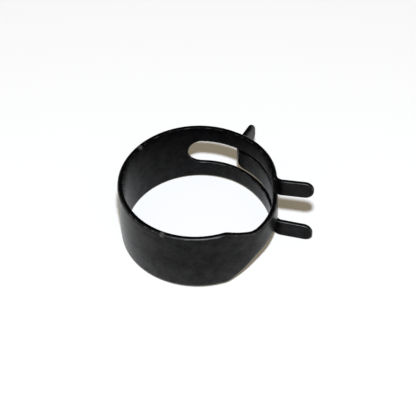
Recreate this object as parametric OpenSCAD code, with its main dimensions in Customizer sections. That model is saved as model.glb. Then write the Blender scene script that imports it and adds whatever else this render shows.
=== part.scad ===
// Spring band hose clamp, blanked from one strip of spring steel and rolled into a ring.
// One end of the strip is slotted into a fork of two arms. The other end narrows to a
// tongue that lies in the slot. All three ends are bent outwards as ears, and pinching
// the tongue's ear towards the fork's ears opens the ring.
// The bore's axis is Z, the middle of the strip's width is z = 0, and azimuths turn from
// +X towards +Y.

/* [Strip] */
// Diameter of the bore when the clamp is at rest
bore_d = 25.4; // [22:0.2:40]
// Thickness of the strip
strip_t = 0.9; // [0.7:0.05:1.2]
// Width of the strip
band_w = 12; // [10:0.5:15]

/* [Fork] */
// Width of the slot between the arms
slot_w = 5.2; // [4:0.1:6]
// Azimuth of the far point of the slot's round end, in degrees
slot_end_az = 96; // [90:1:120]
// Azimuth where the arms start to lean apart, in degrees
fork_root_az = 58; // [56:1:64]
// Azimuth where the arms bend out into their ears, in degrees
fork_bend_az = 0; // [-10:1:10]
// Angle that each arm leans away from the middle of the strip, in degrees
fork_splay = 3.3; // [0.5:0.1:6]

/* [Tongue] */
// Azimuth where the band starts to narrow, in degrees
shoulder_az = -70; // [-85:1:-62]
// Azimuth where the shoulders end and the tongue begins, in degrees
tongue_root_az = -45; // [-52:1:-38]
// Azimuth where the tongue bends out into its ear, in degrees
tongue_bend_az = 50; // [45:1:53]
// Room between each side of the tongue's tip and the slot
tongue_clearance = 0.65; // [0.4:0.05:0.9]
// Extra half width of the tongue at its root
tongue_taper = 0.8; // [0.3:0.05:1]
// Angle that the tongue stands open from the band's circle, in degrees
tongue_swing = 0.8; // [0.5:0.1:3]
// Radius of the hollow corner between each shoulder and the tongue
shoulder_r = 4; // [1:0.5:6]

/* [Ears] */
// Inside radius of the bends at the fork's ears
fork_bend_r = 1.2; // [0.4:0.1:1.5]
// Inside radius of the bend at the tongue's ear
tongue_bend_r = 2.4; // [1:0.1:2.5]
// Angle that the fork's ears are bent through, in degrees
fork_turn = 75; // [65:1:95]
// Angle that the tongue's ear is bent through, in degrees
tongue_turn = 80; // [78:1:92]
// Flat length of the fork's ears
fork_ear_l = 5.5; // [4:0.1:9]
// Flat length of the tongue's ear
tongue_ear_l = 4.9; // [3:0.1:9]
// Radius of the corners at the tips of the fork's ears
fork_corner_r = 1.6; // [0.5:0.1:1.6]
// Radius of the corners at the tip of the tongue's ear
tongue_corner_r = 1.5; // [0.5:0.1:2.2]

/* [Hidden] */
$fn = 96;
steel = "#1b1b1d";

// Overlap of pieces that are joined, as a length and as an angle round the bore
join = 0.05;
join_az = 2;
// Angle round the bore over which the tongue tapers from its root
taper_az = 60;
// Depth and half width of the scribed line across the strip at its swing point
scribe = 0.03;
// Depth that a rounding cuts past the faces it runs into, so that they cross
nudge = 0.01;

bore_r = bore_d / 2;
outer_r = bore_r + strip_t;
mid_r = bore_r + strip_t / 2;

// The slot ends in a half circle, whose centre lies half the slot's width short of its end
slot_centre_az = slot_end_az - asin(slot_w / 2 / mid_r);

// Each arm is what the slot leaves of the strip on one side
arm_w = (band_w - slot_w) / 2;
arm_middle = (band_w + slot_w) / 4;

// The tongue swings open about the middle of the full strip, just short of its shoulders
swing_az = shoulder_az - 2 * join_az;
swing_point = polar(mid_r, swing_az);
tongue_tip_half = slot_w / 2 - tongue_clearance;
tongue_root_half = tongue_tip_half + tongue_taper;

// A point on a circle round the origin
function polar(r, az) = r * [cos(az), sin(az)];

// Azimuth that an ear points to, and the middle of its tip, for a strip that comes round
// anticlockwise to bend_az and bends outwards there
function ear_az(bend_az, turn) = bend_az + 90 - turn;
function ear_tip(bend_az, bend_r, turn, ear_l) = polar(outer_r + bend_r, bend_az)
    + polar(bend_r + strip_t / 2, ear_az(bend_az, turn) + 90)
    + polar(ear_l, ear_az(bend_az, turn));

// Plan of a wedge with its point on the bore's axis
module wedge(from_az, to_az, reach) {
    steps = ceil((to_az - from_az) / 60);
    polygon([[0, 0], for (i = [0 : steps]) polar(reach, from_az + (to_az - from_az) * i / steps)]);
}

// Plan of a full ring of strip
module ring_plan(inside_r) {
    difference() {
        circle(inside_r + strip_t);
        circle(inside_r);
    }
}

// Plan of what lies to the left of the line along an azimuth
module left_of(az, reach) {
    rotate(az) translate([-reach, 0]) square([2 * reach, reach]);
}

// A strip end that comes round anticlockwise to bend_az, bends outwards and runs on as an ear.
// Its three pieces share their end faces.
module strip_end(height, from_az, bend_az, bend_r, turn, ear_l) {
    rotate([0, 0, bend_az]) {
        linear_extrude(height, center = true) intersection() {
            ring_plan(bore_r);
            wedge(from_az - bend_az, 0, 3 * outer_r);
        }
        translate([outer_r + bend_r, 0, 0]) {
            linear_extrude(height, center = true) intersection() {
                ring_plan(bend_r);
                left_of(0, 2 * outer_r);
                left_of(180 - turn, 2 * outer_r);
            }
            rotate([0, 0, 180 - turn]) translate([bend_r, -ear_l, -height / 2])
                cube([strip_t, ear_l, height]);
        }
    }
}

// Carries a side view, drawn as chord and height, along the radius at an azimuth, from from_r outwards
module along_radius(az, from_r) {
    rotate([0, 0, az]) translate([from_r, 0, 0]) rotate([90, 0, 90])
        linear_extrude(2 * bore_d - from_r) children();
}

// What is cut from the square tip of an ear of a given half width to round its corners.
// The ear points along az from the bore's axis, and climbs at a slope.
module tip_corners(tip, az, slope, half_w, corner_r) {
    r = min(corner_r, half_w - join);
    translate(tip) rotate([0, -slope, az]) rotate([90, 0, 0]) linear_extrude(3 * strip_t, center = true)
        for (side = [0, 1])
            mirror([0, side]) translate([-r - nudge, half_w - r - nudge]) difference() {
                square(2 * r);
                circle(r);
            }
}

// What lies above the edge that runs at a given height round the band and leans up along the
// fork's upper arm and its ear
module above_edge(height) {
    far = [-bore_d, height + bore_d * tan(fork_splay)];
    along_radius(fork_root_az, 0)
        polygon([[bore_d, height], [0, height], far, [far.x, 2 * band_w], [bore_d, 2 * band_w]]);
    along_radius(fork_root_az + 180, -join)
        translate([-bore_d, height]) square([2 * bore_d, 2 * band_w - height]);
}

// What lies between the fork's arms and between their ears
module between_arms() {
    far = [-bore_d, slot_w / 2 + bore_d * tan(fork_splay)];
    along_radius(fork_root_az, 0)
        polygon([[0, slot_w / 2], far, [far.x, -far.y], [0, -slot_w / 2]]);
    linear_extrude(slot_w, center = true) wedge(fork_root_az - join_az, slot_centre_az, bore_d);
    rotate([0, 90, slot_centre_az]) cylinder(r = slot_w / 2 + nudge, h = bore_d);
}

// Frame at the swing point, with X outwards and Y towards the tongue
module at_swing() {
    translate(swing_point) rotate([0, 0, swing_az - tongue_swing / 2]) children();
}

// A block that ends the band, for side 1, or the tongue, for side -1, just short of the swing point
module swing_end(side) {
    at_swing() mirror([0, (1 - side) / 2, 0])
        translate([-2 * strip_t, -scribe, -band_w]) cube([4 * strip_t, 4 * strip_t, 2 * band_w]);
}

// The strip across the swing point, set back by the depth of a scribed line
module swing_bridge() {
    at_swing() cube([strip_t - 2 * scribe, strip_t, band_w - 2 * scribe], center = true);
}

// The strip from short of the shoulders round to the fork's ears.
// It comes round clockwise to its bend, so its plan and its tips are worked out mirrored.
module fork() {
    bend_az = -fork_bend_az;
    az = ear_az(bend_az, fork_turn);
    tip = ear_tip(bend_az, fork_bend_r, fork_turn, fork_ear_l);
    lean = tan(fork_splay) * polar(1, 90 - fork_root_az);
    slope = atan(lean * polar(1, az));
    difference() {
        mirror([0, 1, 0])
            strip_end(2 * band_w, -swing_az - join_az - 360, bend_az, fork_bend_r, fork_turn, fork_ear_l);
        swing_end(1);
        between_arms();
        for (side = [0, 1]) mirror([0, 0, side]) {
            above_edge(band_w / 2);
            mirror([0, 1, 0]) tip_corners([tip.x, tip.y, arm_middle + lean * tip], az, slope,
                arm_w / 2 * cos(slope), fork_corner_r);
        }
    }
}

// Side view of what is cut from above the tongue, seen along the radius at the tongue's root:
// a sloping shoulder, a hollow corner, the tongue's tapering edge and its level tip
module tongue_cut() {
    corner = [0, tongue_root_half];
    shoulder = [mid_r * sin(shoulder_az - tongue_root_az), band_w / 2];
    tip = [mid_r * sin(taper_az), tongue_tip_half];
    to_shoulder = (shoulder - corner) / norm(shoulder - corner);
    to_tip = (tip - corner) / norm(tip - corner);
    half_angle = acos(to_shoulder * to_tip) / 2;
    reach = shoulder_r / tan(half_angle);
    into_cut = (to_shoulder + to_tip) / norm(to_shoulder + to_tip);
    polygon([shoulder, corner + reach * to_shoulder, corner + reach * to_tip, tip,
        [2 * bore_d, tip.y], [2 * bore_d, band_w], [shoulder.x, band_w]]);
    translate(corner + into_cut * (shoulder_r - nudge) / sin(half_angle)) circle(shoulder_r);
}

// The shoulders, the tongue and its ear
module tongue() {
    tip = ear_tip(tongue_bend_az, tongue_bend_r, tongue_turn, tongue_ear_l);
    difference() {
        translate(swing_point) rotate([0, 0, -tongue_swing]) translate(-swing_point) difference() {
            strip_end(band_w, swing_az - join_az, tongue_bend_az, tongue_bend_r, tongue_turn, tongue_ear_l);
            for (side = [0, 1]) mirror([0, 0, side]) along_radius(tongue_root_az, -bore_d) tongue_cut();
            tip_corners([tip.x, tip.y, 0], ear_az(tongue_bend_az, tongue_turn), 0,
                tongue_tip_half, tongue_corner_r);
        }
        swing_end(-1);
    }
}

module clamp_band() {
    color(steel) union() {
        fork();
        swing_bridge();
        tongue();
    }
}

clamp_band();
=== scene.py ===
"""Spring band hose clamp: dresses the rolled strip, sets it on a pale floor and lights it.

The strip is modelled as it is made. A flat blank is outlined, given its thickness and rounded
edges, cut into narrow slices, and rolled and bent into shape. Lengths in the blank are in
millimetres, and the finished mesh is scaled to metres.
"""

import math

import bmesh
import bpy
from mathutils import Matrix, Vector


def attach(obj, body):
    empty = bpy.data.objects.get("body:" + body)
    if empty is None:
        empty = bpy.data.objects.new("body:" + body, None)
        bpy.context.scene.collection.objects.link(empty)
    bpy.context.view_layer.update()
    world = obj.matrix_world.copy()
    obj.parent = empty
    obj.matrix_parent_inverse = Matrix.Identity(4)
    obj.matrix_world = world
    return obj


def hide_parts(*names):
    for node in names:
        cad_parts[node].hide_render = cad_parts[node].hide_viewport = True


bl_info = {
    "name": "Spring Band Clamp",
    "version": (1, 0, 0),
    "blender": (4, 5, 0),
    "location": "View3D > Sidebar > Clamp",
    "description": "Dresses a spring band hose clamp and sets it on a pale floor",
    "category": "Object",
}

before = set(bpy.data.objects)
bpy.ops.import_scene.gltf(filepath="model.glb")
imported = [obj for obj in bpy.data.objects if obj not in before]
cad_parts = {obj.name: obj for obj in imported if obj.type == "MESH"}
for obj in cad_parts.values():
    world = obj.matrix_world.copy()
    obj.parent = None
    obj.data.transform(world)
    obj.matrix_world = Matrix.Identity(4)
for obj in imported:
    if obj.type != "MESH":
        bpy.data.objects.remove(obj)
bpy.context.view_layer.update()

MM = 0.001
# Mean gloss of the porous oxide, for viewers that leave out the map of it
OXIDE_GLOSS = 0.07
# Azimuths, in degrees, of two nicks in the upper edge that show bare steel
NICKS = (-117.5, 138.5 - 360)
# Lengths on the flat blank, in millimetres: half of a nick and how far it reaches into the face, and
# half of the stretch over which the finish changes at a bend and of the one where the swing sets in
NICK_HALF = 0.6
NICK_REACH = 0.5
FINISH_BLEND = 0.4
SWING_BLEND = 0.5
# Slices of the blank: round the band in radians, along the ears and across the strip in millimetres,
# and counted in each bend, along the taper and round each edge
ROUND_SLICE = math.radians(2)
EAR_SLICE = 0.5
CROSS_SLICE = 0.75
TONGUE_BEND_SLICES = 20
FORK_BEND_SLICES = 16
TAPER_SLICES = 4
EDGE_SEGMENTS = 5
# Share of half the slot's width that each corner of its round end takes up, just short of meeting
SLOT_CORNER = 0.999
# Points of the blank that are closer than this are one point
TOUCH = 1e-4


def length(name, description, mm):
    """A property for a length, given in millimetres and kept in metres."""
    return bpy.props.FloatProperty(
        name=name, description=description, default=mm * MM, precision=5,
        subtype="DISTANCE", unit="LENGTH",
    )


def angle(name, description, degrees):
    """A property for an angle, given in degrees and kept in radians."""
    return bpy.props.FloatProperty(
        name=name, description=description, default=math.radians(degrees),
        subtype="ANGLE", unit="ROTATION",
    )


def linear(hex_colour):
    """The linear RGBA of an sRGB hex colour."""
    channels = [int(hex_colour[i : i + 2], 16) / 255 for i in (1, 3, 5)]
    return [c / 12.92 if c <= 0.04045 else ((c + 0.055) / 1.055) ** 2.4 for c in channels] + [1.0]


def colour(name, description, hex_colour):
    """A property for a colour, given as sRGB hex and kept linear."""
    return bpy.props.FloatVectorProperty(
        name=name, description=description, default=linear(hex_colour)[:3],
        subtype="COLOR", size=3, min=0, max=1,
    )


class ClampStripSettings(bpy.types.PropertyGroup):
    """Sizes of the strip and of the ring it is rolled into"""

    bore_d: length("Bore", "Diameter of the bore at rest", 25.4)
    strip_t: length("Thickness", "Thickness of the strip", 0.9)
    band_w: length("Width", "Width of the strip", 12)
    edge_round: length("Edge round", "Radius that tumbling leaves on the inner edges", 0.22)
    edge_roll: length("Edge roll", "Radius that blanking leaves on the outer edges", 0.45)
    shoulder_round: length("Shoulder round", "Rounding of each shoulder's outer corner", 0.5)


class ClampForkSettings(bpy.types.PropertyGroup):
    """Sizes of the slotted end"""

    slot_w: length("Slot", "Width of the slot between the arms", 5.2)
    slot_end: angle("Slot end", "Azimuth of the slot's round end", 96)
    root: angle("Root", "Azimuth where the arms start to lean apart", 58)
    bend: angle("Bend", "Azimuth where the arms bend out into their ears", 0)
    splay: angle("Splay", "Angle that each arm leans from the strip's middle", 3.3)
    bend_r: length("Bend radius", "Inside radius of the bends", 1.2)
    turn: angle("Turn", "Angle that the ears are bent through", 75)
    ear_l: length("Ear", "Flat length of the ears", 5.5)
    corner_r: length("Corner", "Radius of the corners at the ears' tips", 1.6)


class ClampTongueSettings(bpy.types.PropertyGroup):
    """Sizes of the narrow end"""

    shoulder: angle("Shoulder", "Azimuth where the band starts to narrow", -70)
    root: angle("Root", "Azimuth where the shoulders end", -45)
    bend: angle("Bend", "Azimuth where the tongue bends out into its ear", 50)
    swing: angle("Swing", "Angle that the tongue stands open from the band's circle", 0.8)
    swing_from: angle("Swing from", "Azimuth that the tongue swings about", -74)
    root_half: length("Root half width", "Half width of the tongue at its root", 2.75)
    taper: length("Taper", "Half width that the tongue loses along its taper", 0.8)
    taper_turn: angle("Taper turn", "Angle round the bore that the taper takes up", 60)
    shoulder_reach: length("Hollow", "Length of each edge that the hollow corner takes up", 1.05)
    bend_r: length("Bend radius", "Inside radius of the bend", 2.4)
    turn: angle("Turn", "Angle that the ear is bent through", 80)
    ear_l: length("Ear", "Flat length of the ear", 4.9)
    corner_r: length("Corner", "Radius of the corners at the ear's tip", 1.5)


class ClampFinishSettings(bpy.types.PropertyGroup):
    """Colours of the blackened steel"""

    black: colour("Black", "Colour of the blackened surface", "#050506")
    grey: colour("Grey", "Colour of its thinner, greyer patches", "#0b0b0c")
    bare: colour("Bare steel", "Colour of steel that shows where the black is worn off", "#8d8b87")
    floor: colour("Floor", "Colour of the floor", "#fbfbfa")


def strip_sizes(scene):
    """All the sizes of the strip, in millimetres and radians, with the places along the blank."""
    strip, fork, tongue = scene.clamp_strip, scene.clamp_fork, scene.clamp_tongue
    s = {
        "t": strip.strip_t / MM,
        "half_w": strip.band_w / MM / 2,
        "outer_r": (strip.bore_d / 2 + strip.strip_t) / MM,
        "mid_r": (strip.bore_d + strip.strip_t) / 2 / MM,
        "edge_round": strip.edge_round / MM,
        "edge_roll": strip.edge_roll / MM,
        "shoulder_round": strip.shoulder_round / MM,
        "slot_half": fork.slot_w / MM / 2,
    }
    for group, prefix in ((fork, "fork"), (tongue, "tongue")):
        for key in group.__annotations__:
            size = getattr(group, key)
            is_length = group.bl_rna.properties[key].unit == "LENGTH"
            s[f"{prefix}_{key}"] = size / MM if is_length else size

    def round_to(azimuth):
        return s["tongue_bend_x"] + s["mid_r"] * (s["tongue_bend"] - azimuth)

    for prefix in ("tongue", "fork"):
        s[f"{prefix}_bend_l"] = s[f"{prefix}_turn"] * (s[f"{prefix}_bend_r"] + s["t"] / 2)
    full = math.tau
    s["tongue_bend_x"] = s["tongue_ear_l"] + s["tongue_bend_l"]
    s["tongue_root_x"] = round_to(s["tongue_root"])
    s["shoulder_x"] = round_to(s["tongue_shoulder"])
    s["swing_x"] = round_to(s["tongue_swing_from"])
    s["slot_end_x"] = round_to(s["fork_slot_end"] - full)
    s["fork_root_x"] = round_to(s["fork_root"] - full)
    s["fork_bend_x"] = round_to(s["fork_bend"] - full)
    s["fork_ear_x"] = s["fork_bend_x"] + s["fork_bend_l"]
    s["end_x"] = s["fork_ear_x"] + s["fork_ear_l"]
    s["nicks_x"] = [round_to(math.radians(azimuth)) for azimuth in NICKS]
    return s


def polar(r, azimuth):
    """A point on a circle round the bore's axis, in plan."""
    return Vector((r * math.cos(azimuth), r * math.sin(azimuth)))


def end_place(s, prefix, bend, past, depth):
    """Plan of a point past the start of a bend, on a strip that comes round anticlockwise."""
    bend_r, bend_l = s[f"{prefix}_bend_r"], s[f"{prefix}_bend_l"]
    swept = s[f"{prefix}_turn"] * min(past / bend_l, 1)
    heading = bend + math.pi - swept
    place = polar(s["outer_r"] + bend_r, bend) + polar(bend_r + s["t"] / 2 - depth, heading)
    return place + polar(max(past - bend_l, 0), heading - math.pi / 2)


def smooth_step(x, low, high):
    """Goes from 0 to 1 as x goes from low to high, level at both ends."""
    x = min(max((x - low) / (high - low), 0), 1)
    return x * x * (3 - 2 * x)


def rolled(s, flat):
    """Where a point of the flat blank comes to lie on the rolled clamp."""
    x, z, depth = flat.x, flat.y, flat.z - s["t"] / 2
    if x > s["fork_bend_x"]:
        place = end_place(s, "fork", -s["fork_bend"], x - s["fork_bend_x"], depth)
        place.y = -place.y
    elif x < s["tongue_bend_x"]:
        place = end_place(s, "tongue", s["tongue_bend"], s["tongue_bend_x"] - x, depth)
    else:
        azimuth = s["tongue_bend"] - (x - s["tongue_bend_x"]) / s["mid_r"]
        place = polar(s["mid_r"] + depth, azimuth)

    if x > s["fork_root_x"]:
        chord = max(place.dot(polar(1, s["fork_root"] - math.pi / 2)), 0)
        z += math.copysign(chord * math.tan(s["fork_splay"]), z)

    # The swing sets in over a short stretch, so the strip has no crease there
    swing = s["tongue_swing"] * smooth_step(s["swing_x"] - x, -SWING_BLEND, SWING_BLEND)
    pivot = polar(s["mid_r"], s["tongue_swing_from"])
    place = pivot + Matrix.Rotation(-swing, 2) @ (place - pivot)
    return Vector((place.x, place.y, z))


def round_corners(bm, corners, reach, segments):
    """Rounds the outline's corners that lie at the given places."""
    picked = [v for v in bm.verts if any((v.co.xy - Vector(c)).length < TOUCH for c in corners)]
    bmesh.ops.bevel(
        bm, geom=picked, offset=reach, offset_type="OFFSET", segments=segments,
        profile=0.5, affect="VERTICES", material=-1, clamp_overlap=False,
    )


def outline_blank(bm, s):
    """One face with the outline of the flat blank: tongue, shoulders, band and fork."""
    band_h, slot_h = s["half_w"], s["slot_half"]
    taper = []
    for turn in (s["tongue_taper_turn"] * i / TAPER_SLICES for i in range(TAPER_SLICES + 1)):
        lost = s["tongue_taper"] * math.sin(turn) / math.sin(s["tongue_taper_turn"])
        taper.append((s["tongue_root_x"] - s["mid_r"] * turn, s["tongue_root_half"] - lost))
    upper = [
        (s["slot_end_x"], slot_h),
        (s["end_x"], slot_h),
        (s["end_x"], band_h),
        (s["shoulder_x"], band_h),
        *taper,
        (0, taper[-1][1]),
    ]
    lower = [(x, -y) for x, y in reversed(upper)]
    bm.faces.new([bm.verts.new((x, y, 0)) for x, y in upper + lower])
    # Corners, their reach and their segments
    rounds = (
        (upper[0:1], slot_h * SLOT_CORNER, 16),
        (upper[1:3], s["fork_corner_r"], 10),
        (upper[3:4], s["shoulder_round"], 4),
        (upper[4:5], s["tongue_shoulder_reach"], 8),
        (upper[-1:], s["tongue_corner_r"], 10),
    )
    for corners, reach, segments in rounds:
        round_corners(bm, corners + [(x, -y) for x, y in corners], reach, segments)


def thicken_blank(bm, s):
    """Gives the blank its thickness, then rounds the edges of both its faces."""
    blank = bmesh.ops.extrude_face_region(bm, geom=bm.faces[:], use_keep_orig=True)
    raised = [g for g in blank["geom"] if isinstance(g, bmesh.types.BMVert)]
    bmesh.ops.translate(bm, verts=raised, vec=(0, 0, s["t"]))
    bmesh.ops.recalc_face_normals(bm, faces=bm.faces[:])
    for height, reach in ((0, s["edge_round"]), (s["t"], s["edge_roll"])):
        rim = [e for e in bm.edges if all(abs(v.co.z - height) < TOUCH for v in e.verts)]
        bmesh.ops.bevel(
            bm, geom=rim, offset=reach, offset_type="OFFSET", segments=EDGE_SEGMENTS,
            profile=0.5, affect="EDGES", material=-1, clamp_overlap=False,
        )


def spaced(low, high, step):
    """Even places from low to high, about a step apart."""
    count = max(round((high - low) / step), 1)
    return [low + (high - low) * i / count for i in range(count + 1)]


def slice_blank(bm, s):
    """Cuts the blank into slices narrow enough to follow the round and the bends."""
    along = spaced(s["tongue_bend_x"], s["fork_bend_x"], s["mid_r"] * ROUND_SLICE)
    along += spaced(s["tongue_ear_l"], s["tongue_bend_x"], s["tongue_bend_l"] / TONGUE_BEND_SLICES)
    along += spaced(s["fork_bend_x"], s["fork_ear_x"], s["fork_bend_l"] / FORK_BEND_SLICES)
    along += spaced(0, s["tongue_ear_l"], EAR_SLICE)[1:]
    along += spaced(s["fork_ear_x"], s["end_x"], EAR_SLICE)[:-1]
    across = spaced(-s["half_w"], s["half_w"], CROSS_SLICE)[1:-1]
    for places, normal in ((across, Vector((0, 1, 0))), (along, Vector((1, 0, 0)))):
        for place in places:
            bmesh.ops.bisect_plane(
                bm, geom=bm.verts[:] + bm.edges[:] + bm.faces[:], dist=TOUCH / 10,
                plane_co=normal * place, plane_no=normal,
            )


def band_mesh(s):
    """The rolled strip, in metres, with attributes for the finish to follow.

    They are each point's place on the flat blank, and how far it is on a rounded edge, in a bend,
    on a fork's ear or in a nick.
    """
    bm = bmesh.new()
    outline_blank(bm, s)
    thicken_blank(bm, s)
    slice_blank(bm, s)
    bmesh.ops.remove_doubles(bm, verts=bm.verts[:], dist=TOUCH)
    bmesh.ops.recalc_face_normals(bm, faces=bm.faces[:])
    bm.normal_update()

    blank = bm.verts.layers.float_vector.new("blank")
    edge = bm.verts.layers.float.new("edge")
    bent = bm.verts.layers.float.new("bent")
    ear = bm.verts.layers.float.new("ear")
    nick = bm.verts.layers.float.new("nick")

    def reached(x, place):
        return smooth_step(x, place - FINISH_BLEND, place + FINISH_BLEND)

    bends = ((s["tongue_ear_l"], s["tongue_bend_x"]), (s["fork_bend_x"], s["fork_ear_x"]))
    for vert in bm.verts:
        x = vert.co.x
        vert[blank] = vert.co * MM
        # Highest half way round the rounded edge
        facing = vert.normal.z ** 2
        vert[edge] = 4 * facing * (1 - facing)
        vert[bent] = sum(reached(x, low) - reached(x, high) for low, high in bends)
        vert[ear] = reached(x, s["fork_ear_x"])
        if vert.co.y > s["half_w"] - NICK_REACH:
            vert[nick] = max(1 - abs(x - place) / NICK_HALF for place in s["nicks_x"])
    for vert in bm.verts:
        vert.co = rolled(s, vert.co)
    bmesh.ops.scale(bm, verts=bm.verts[:], vec=(MM, MM, MM))
    bmesh.ops.recalc_face_normals(bm, faces=bm.faces[:])
    for face in bm.faces:
        face.smooth = True
    mesh = bpy.data.meshes.new("spring_band")
    bm.to_mesh(mesh)
    bm.free()
    return mesh


def add_node(tree, kind, settings=None, links=None):
    """Adds a node with its settings and input values, and links its inputs from other sockets."""
    node = tree.nodes.new(kind)
    for key, value in (settings or {}).items():
        if isinstance(key, str) and hasattr(node, key):
            setattr(node, key, value)
        else:
            node.inputs[key].default_value = value
    for key, socket in (links or {}).items():
        tree.links.new(socket, node.inputs[key])
    return node


def new_material(name):
    """A material with an empty node tree and its output."""
    material = bpy.data.materials.new(name)
    material.use_nodes = True
    material.node_tree.nodes.clear()
    return material, material.node_tree, add_node(material.node_tree, "ShaderNodeOutputMaterial")


def blackened_steel(finish, strip):
    """Blackened and oiled spring steel: near black, with a soft sheen that mirrors the ground.

    Fine streaks run along the strip, the black is thinner in small clouds, and a few spots of the
    edges are rubbed bare. The gloss holds a painted reflection, brighter towards the lower edge,
    and painted shade in the bends.
    """
    material, tree, output = new_material("blackened_spring_steel")
    half, thickness = strip.band_w / 2, strip.strip_t
    smooth = {"interpolation_type": "SMOOTHSTEP"}
    flat = add_node(tree, "ShaderNodeAttribute", {"attribute_name": "blank"}).outputs["Vector"]
    edge, bent, ear, nick = (
        add_node(tree, "ShaderNodeAttribute", {"attribute_name": name}).outputs["Fac"]
        for name in ("edge", "bent", "ear", "nick")
    )
    places = add_node(tree, "ShaderNodeSeparateXYZ", {}, {"Vector": flat}).outputs
    depth = places["Z"]

    # Clouds 1.6 mm across
    clouds = add_node(
        tree, "ShaderNodeTexNoise", {"Scale": 1 / (1.6 * MM), "Detail": 5.0, "Roughness": 0.6},
        {"Vector": flat},
    ).outputs["Fac"]
    # Rolling streaks 0.15 mm wide and 6 mm long
    drawn_out = add_node(
        tree, "ShaderNodeMapping", {"Scale": (0.15 / 6, 1, 1)}, {"Vector": flat}
    ).outputs["Vector"]
    streaks = add_node(
        tree, "ShaderNodeTexNoise", {"Scale": 1 / (0.15 * MM), "Detail": 3.0}, {"Vector": drawn_out}
    ).outputs["Fac"]
    # Grain of the black coat. Real crystals are some hundredths of a millimetre, and are drawn at
    # 0.12 mm so that they show.
    grain = add_node(
        tree, "ShaderNodeTexNoise", {"Scale": 1 / (0.12 * MM), "Detail": 2.0}, {"Vector": flat}
    ).outputs["Fac"]
    # Rubbed spots 1.2 mm long, on the edges only, and the nicks
    spots = add_node(
        tree, "ShaderNodeTexNoise", {"Scale": 1 / (1.2 * MM), "Detail": 3.0}, {"Vector": flat}
    ).outputs["Fac"]
    rubbed = add_node(
        tree, "ShaderNodeMapRange", {"From Min": 0.48, "From Max": 0.75, "To Min": 0.0, "To Max": 0.3},
        {"Value": spots},
    ).outputs["Result"]
    on_edge = add_node(
        tree, "ShaderNodeMapRange", {**smooth, "From Min": 0.45, "From Max": 0.9}, {"Value": edge}
    ).outputs["Result"]
    worn = add_node(
        tree, "ShaderNodeMath", {"operation": "MULTIPLY"}, {0: rubbed, 1: on_edge}
    ).outputs["Value"]
    in_nick = add_node(tree, "ShaderNodeMapRange", smooth, {"Value": nick}).outputs["Result"]
    worn = add_node(
        tree, "ShaderNodeMath", {"operation": "MULTIPLY_ADD", 1: 0.35, "use_clamp": True},
        {0: in_nick, 2: worn},
    ).outputs["Value"]

    thin = add_node(
        tree, "ShaderNodeMapRange", {**smooth, "From Min": 0.35, "From Max": 0.7}, {"Value": clouds}
    ).outputs["Result"]
    coat = add_node(
        tree, "ShaderNodeMix", {"data_type": "RGBA", 6: [*finish.black, 1], 7: [*finish.grey, 1]},
        {0: thin},
    ).outputs[2]
    base = add_node(
        tree, "ShaderNodeMix", {"data_type": "RGBA", 7: [*finish.bare, 1]}, {0: worn, 6: coat}
    ).outputs[2]

    # Clouds and streaks make the surface rougher and smoother, and its edges are rougher
    sheen = add_node(
        tree, "ShaderNodeMath", {"operation": "ADD"}, {0: clouds, 1: streaks}
    ).outputs["Value"]
    varied = add_node(
        tree, "ShaderNodeMapRange", {"From Min": 0.6, "From Max": 1.4, "To Min": -0.08, "To Max": 0.08},
        {"Value": sheen},
    ).outputs["Result"]
    roughness = add_node(
        tree, "ShaderNodeMapRange", {"From Max": thickness, "To Min": 0.25, "To Max": 0.28},
        {"Value": depth},
    ).outputs["Result"]
    for share, part in ((1.0, varied), (0.2, edge)):
        roughness = add_node(
            tree, "ShaderNodeMath", {"operation": "MULTIPLY_ADD", 1: share}, {0: part, 2: roughness}
        ).outputs["Value"]

    # The porous oxide mirrors less than a smooth coat would, and the inside of the ring is duller
    side = add_node(
        tree, "ShaderNodeMapRange", {"From Max": thickness, "To Min": 0.036, "To Max": 0.092},
        {"Value": depth},
    ).outputs["Result"]
    mottle = add_node(
        tree, "ShaderNodeMath", {"operation": "ADD"}, {0: clouds, 1: grain}
    ).outputs["Value"]
    patchy = add_node(
        tree, "ShaderNodeMapRange", {"From Min": 0.6, "From Max": 1.4, "To Min": 0.3, "To Max": 1.7},
        {"Value": mottle},
    ).outputs["Result"]
    # Painted reflection: the gloss grows towards the lower edge, all down the inside and near the
    # edge on the outside, where the floor would be mirrored brighter
    painted_reflection_inside = add_node(
        tree, "ShaderNodeMapRange",
        {"From Min": -half, "From Max": half, "To Min": 2.5, "To Max": 0.1}, {"Value": places["Y"]},
    ).outputs["Result"]
    painted_reflection_outside = add_node(
        tree, "ShaderNodeMapRange",
        {"From Min": -half, "From Max": -half / 6, "To Min": 2.3, "To Max": 1.05},
        {"Value": places["Y"]},
    ).outputs["Result"]
    outwards = add_node(
        tree, "ShaderNodeMapRange", {**smooth, "From Max": thickness}, {"Value": depth}
    ).outputs["Result"]
    painted_reflection_and_ear_gloss = add_node(
        tree, "ShaderNodeMix", {"data_type": "FLOAT"}, {0: outwards, 2: painted_reflection_inside, 3: painted_reflection_outside}
    ).outputs[0]
    # The fork's ears are glossier than the band, and the edges shine most. The bends are duller:
    # painted shade, where they turn away from the light
    painted_reflection_and_ear_gloss = add_node(
        tree, "ShaderNodeMix", {"data_type": "FLOAT", 3: 2.4}, {0: ear, 2: painted_reflection_and_ear_gloss}
    ).outputs[0]
    painted_bend_shade = add_node(
        tree, "ShaderNodeMapRange", {"To Min": 1.0, "To Max": 0.25}, {"Value": bent}
    ).outputs["Result"]
    burnished = add_node(
        tree, "ShaderNodeMapRange", {"From Min": 0.3, "From Max": 0.9, "To Min": 1.0, "To Max": 7.0},
        {"Value": edge},
    ).outputs["Result"]
    gloss = side
    for part in (patchy, painted_reflection_and_ear_gloss, painted_bend_shade, burnished):
        gloss = add_node(
            tree, "ShaderNodeMath", {"operation": "MULTIPLY"}, {0: gloss, 1: part}
        ).outputs["Value"]

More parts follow.
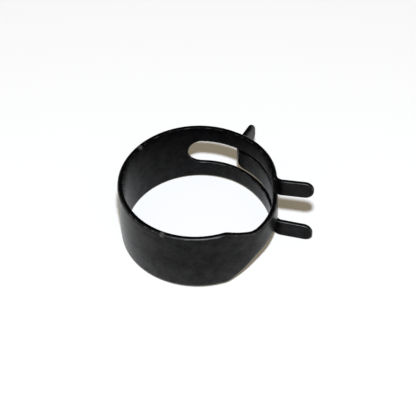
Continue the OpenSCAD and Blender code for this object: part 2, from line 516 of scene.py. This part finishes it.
    height = add_node(
        tree, "ShaderNodeMath", {"operation": "ADD"}, {0: streaks, 1: grain}
    ).outputs["Value"]
    bump = add_node(
        tree, "ShaderNodeBump", {"Strength": 0.25, "Distance": 0.01 * MM}, {"Height": height}
    ).outputs["Normal"]
    shader = add_node(
        tree, "ShaderNodeBsdfPrincipled", {"Specular IOR Level": OXIDE_GLOSS},
        {
            "Base Color": base, "Metallic": worn, "Roughness": roughness, "Normal": bump,
            "Specular IOR Level": gloss,
        },
    )
    tree.links.new(shader.outputs["BSDF"], output.inputs["Surface"])
    return material


def pale_floor(finish):
    """Matt white card: an even white with the faintest tooth."""
    material, tree, output = new_material("matt_white_card")
    place = add_node(tree, "ShaderNodeTexCoord").outputs["Object"]
    # Tooth of the card, 0.4 mm
    tooth = add_node(
        tree, "ShaderNodeTexNoise", {"Scale": 1 / (0.4 * MM), "Detail": 2.0}, {"Vector": place}
    ).outputs["Fac"]
    bump = add_node(
        tree, "ShaderNodeBump", {"Strength": 0.05, "Distance": 0.01 * MM}, {"Height": tooth}
    ).outputs["Normal"]
    shader = add_node(
        tree, "ShaderNodeBsdfPrincipled",
        {"Base Color": [*finish.floor, 1], "Roughness": 0.9, "Specular IOR Level": 0.0},
        {"Normal": bump},
    )
    # Light that the room sends into the shadows, seen by the camera and in reflections
    path = add_node(tree, "ShaderNodeLightPath").outputs
    seen = path["Is Camera Ray"]
    for ray in ("Is Glossy Ray", "Is Transmission Ray"):
        seen = add_node(
            tree, "ShaderNodeMath", {"operation": "MAXIMUM"}, {0: seen, 1: path[ray]}
        ).outputs["Value"]
    seen = add_node(
        tree, "ShaderNodeMath", {"operation": "MULTIPLY", 1: SHADE_LIFT}, {0: seen}
    ).outputs["Value"]
    lift = add_node(
        tree, "ShaderNodeEmission", {"Color": linear(FILL_COLOUR)}, {"Strength": seen}
    ).outputs["Emission"]
    both = add_node(tree, "ShaderNodeAddShader", {}, {0: shader.outputs["BSDF"], 1: lift})
    tree.links.new(both.outputs["Shader"], output.inputs["Surface"])
    return material


class CLAMP_OT_spring_band(bpy.types.Operator):
    """Rolls the strip and gives it its blackened finish"""

    bl_idname = "clamp.spring_band"
    bl_label = "Spring band"

    def execute(self, context):
        scene = context.scene
        mesh = band_mesh(strip_sizes(scene))
        mesh.materials.append(blackened_steel(scene.clamp_finish, scene.clamp_strip))
        band = bpy.data.objects.new("spring_band", mesh)
        scene.collection.objects.link(band)
        weighted = band.modifiers.new("even_faces", "WEIGHTED_NORMAL")
        weighted.keep_sharp = True
        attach(band, "root")
        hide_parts("clamp_band")
        return {"FINISHED"}


# The camera was fitted to the ring's rims: its place and roll are relative to the ring's middle
CAMERA_ELEVATION = math.radians(47.117)
CAMERA_DISTANCE = 254.75 * MM
CAMERA_ROLL = math.radians(2.49)
CAMERA_LENS = 127.52
CAMERA_SENSOR = 36
CAMERA_CLIP = 10 * MM
CAMERA_SHIFT = (0.02376, -0.00918)

# The clamp rests on the tip of its lower ear and on the far edge of its band
EAR_FOOT = Vector((19.7, -2.9, -6.97)) * MM
FLOOR_HALF = 2.0
# The key is a small flash just above the lens
KEY_PLACE = Vector((5, -141, 231)) * MM
KEY_RADIUS = 9 * MM
KEY_STRENGTH = 42.0
KEY_COLOUR = "#eff5ff"
FILL_COLOUR = "#ffefcf"
FILL_STRENGTH = 0.13
SHADE_LIFT = 0.14


def looking(forward, right):
    """A rotation whose -Z looks along forward and whose X is right."""
    up = right.cross(forward).normalized()
    return Matrix((right, up, -forward)).transposed().to_4x4()


class CLAMP_OT_stage(bpy.types.Operator):
    """Adds the floor, the light and the camera"""

    bl_idname = "clamp.stage"
    bl_label = "Stage"

    def execute(self, context):
        scene = context.scene
        self.add_floor(scene)
        self.add_light(scene)
        self.add_camera(scene)
        scene.view_settings.view_transform = "Standard"
        return {"FINISHED"}

    def add_floor(self, scene):
        """A floor that touches the lower ear's tip and the far edge of the band."""
        sizes = strip_sizes(scene)
        outwards = Vector((EAR_FOOT.x, EAR_FOOT.y, 0)).normalized()
        far_edge = -outwards * sizes["outer_r"] * MM - Vector((0, 0, sizes["half_w"] * MM))
        slope = (EAR_FOOT - far_edge).normalized()
        across = Vector((0, 0, 1)).cross(slope).normalized()
        turn = Matrix((slope, across, slope.cross(across))).transposed().to_4x4()
        bm = bmesh.new()
        place = Matrix.Translation(far_edge) @ turn
        bmesh.ops.create_grid(bm, x_segments=1, y_segments=1, size=FLOOR_HALF, matrix=place)
        mesh = bpy.data.meshes.new("floor")
        bm.to_mesh(mesh)
        bm.free()
        mesh.materials.append(pale_floor(scene.clamp_finish))
        floor = bpy.data.objects.new("floor", mesh)
        scene.collection.objects.link(floor)

    def add_light(self, scene):
        """A small flash by the lens, and a weak, warm light from all round."""
        key = bpy.data.lights.new("key", "POINT")
        key.energy = KEY_STRENGTH
        key.shadow_soft_size = KEY_RADIUS
        key.use_nodes = True
        tree = key.node_tree
        tree.nodes.clear()
        # The floor is lit evenly, as it would be from further off
        even = add_node(tree, "ShaderNodeLightFalloff", {"Strength": 1.0}).outputs["Constant"]
        glow = add_node(
            tree, "ShaderNodeEmission", {"Color": linear(KEY_COLOUR)}, {"Strength": even}
        ).outputs["Emission"]
        add_node(tree, "ShaderNodeOutputLight", {}, {"Surface": glow})
        lamp = bpy.data.objects.new("key", key)
        lamp.location = KEY_PLACE
        scene.collection.objects.link(lamp)
        world = bpy.data.worlds.new("fill")
        world.use_nodes = True
        fill = world.node_tree.nodes["Background"].inputs
        fill["Color"].default_value = linear(FILL_COLOUR)
        fill["Strength"].default_value = FILL_STRENGTH
        scene.world = world

    def add_camera(self, scene):
        """A camera that looks at the ring from the front and above, a little rolled."""
        camera = bpy.data.cameras.new("camera")
        camera.lens = CAMERA_LENS
        camera.sensor_width = CAMERA_SENSOR
        camera.shift_x, camera.shift_y = CAMERA_SHIFT
        camera.clip_start = CAMERA_CLIP
        eye = bpy.data.objects.new("camera", camera)
        away = Vector((0, -math.cos(CAMERA_ELEVATION), math.sin(CAMERA_ELEVATION)))
        right = Vector((1, 0, 0))
        rolled_right = Matrix.Rotation(CAMERA_ROLL, 3, -away) @ right
        eye.matrix_world = Matrix.Translation(away * CAMERA_DISTANCE) @ looking(-away, rolled_right)
        scene.collection.objects.link(eye)
        scene.camera = eye


class CLAMP_PT_sidebar(bpy.types.Panel):
    """The clamp's sizes, colours and pieces"""

    bl_idname = "CLAMP_PT_sidebar"
    bl_label = "Spring band clamp"
    bl_space_type = "VIEW_3D"
    bl_region_type = "UI"
    bl_category = "Clamp"

    def draw(self, context):
        for owner in SETTINGS:
            box = self.layout.box()
            group = getattr(context.scene, owner)
            for key in group.__annotations__:
                box.prop(group, key)
        for operator in OPERATORS:
            self.layout.operator(operator.bl_idname)


SETTINGS = {
    "clamp_strip": ClampStripSettings,
    "clamp_fork": ClampForkSettings,
    "clamp_tongue": ClampTongueSettings,
    "clamp_finish": ClampFinishSettings,
}
OPERATORS = (CLAMP_OT_spring_band, CLAMP_OT_stage)


def register():
    for cls in (*SETTINGS.values(), *OPERATORS, CLAMP_PT_sidebar):
        bpy.utils.register_class(cls)
    for owner, cls in SETTINGS.items():
        setattr(bpy.types.Scene, owner, bpy.props.PointerProperty(type=cls))


def unregister():
    for owner in SETTINGS:
        delattr(bpy.types.Scene, owner)
    for cls in (CLAMP_PT_sidebar, *reversed(OPERATORS), *SETTINGS.values()):
        bpy.utils.unregister_class(cls)


def main():
    register()
    bpy.ops.clamp.spring_band()
    bpy.ops.clamp.stage()


if __name__ == "__main__":
    main()
